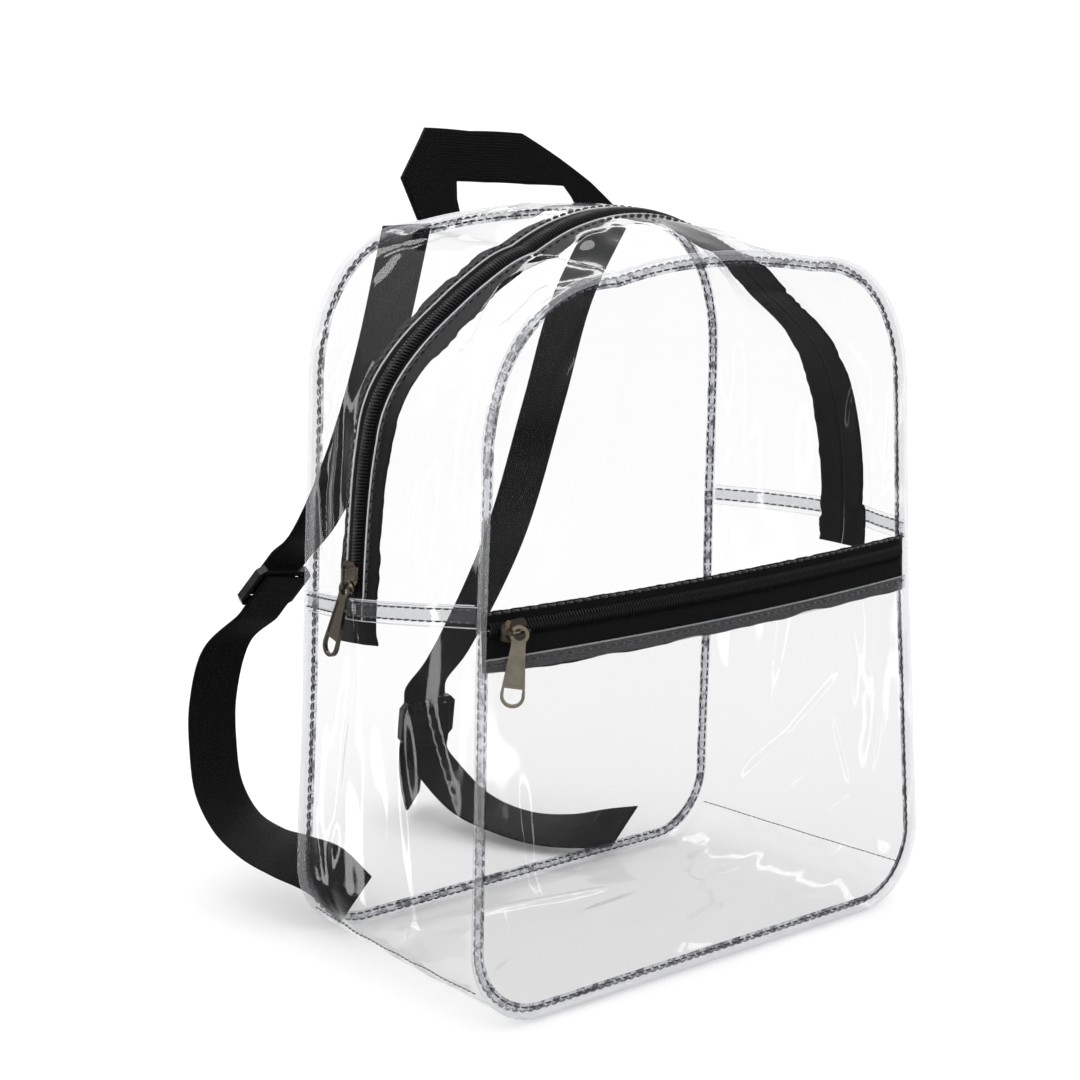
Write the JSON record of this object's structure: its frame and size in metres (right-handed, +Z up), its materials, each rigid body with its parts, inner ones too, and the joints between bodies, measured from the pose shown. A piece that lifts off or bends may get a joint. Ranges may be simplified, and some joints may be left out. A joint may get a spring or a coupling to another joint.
{
  "type": "clear backpack",
  "caption": "Small clear film backpack with a black zip over the top, a front pocket with its own black zip, a grab handle and adjustable black webbing shoulder straps",
  "frame": {"origin": "middle of the flat bottom, at the underside of the bottom film, halfway between the left and right sides and between the middle heights of the front and back seams", "axes": "+Z up; -Y is the front with the pocket and its zip; +Y is the side of the shoulder straps; +X is the right side seen from the front"},
  "size_m": [0.2671, 0.2674, 0.3479],
  "materials": {
    "clear_film": "clear glossy soft PVC film",
    "zip_tape": "woven black polyester tape",
    "zip_coil": "black nylon coil",
    "nickel": "polished nickel plating on die-cast zinc",
    "webbing": "ribbed black polypropylene webbing",
    "adjuster_plastic": "moulded black acetal, slight gloss"
  },
  "bodies": {
    "bag": {"front_panel_upper": "clear_film", "front_panel_lower": "clear_film", "pocket_divider": "clear_film", "back_panel": "clear_film", "gusset_upper_front": "clear_film", "gusset_upper_back": "clear_film", "gusset_lower": "clear_film", "front_piping": "clear_film", "back_piping": "clear_film", "main_zip_tape_front": "zip_tape", "main_zip_tape_back": "zip_tape", "main_zip_coil": "zip_coil", "front_zip_tape_upper": "zip_tape", "front_zip_tape_lower": "zip_tape", "front_zip_coil": "zip_coil", "front_slider": "nickel", "main_slider": "nickel", "grab_handle": "webbing", "strap_upper_left": "webbing", "strap_lower_left": "webbing", "strap_adjuster_left": "adjuster_plastic", "strap_upper_right": "webbing", "strap_lower_right": "webbing", "strap_adjuster_right": "adjuster_plastic", "strap_tail_right": "webbing"},
    "front_pull_body": {"front_pull": "nickel"},
    "main_pull_body": {"main_pull": "nickel"}
  },
  "joints": [
    {"name": "front_pull_swing", "type": "hinge", "parent": "bag", "child": "front_pull_body", "pos_m": [-0.1065, -0.06958, 0.162], "axis": [-1, 0, 0], "range_deg": [0, 150]},
    {"name": "main_pull_swing", "type": "hinge", "parent": "bag", "child": "main_pull_body", "pos_m": [-0.12974, 0.01214, 0.17127], "axis": [0, 0.9976, 0.0698], "range_deg": [0, 110]}
  ]
}
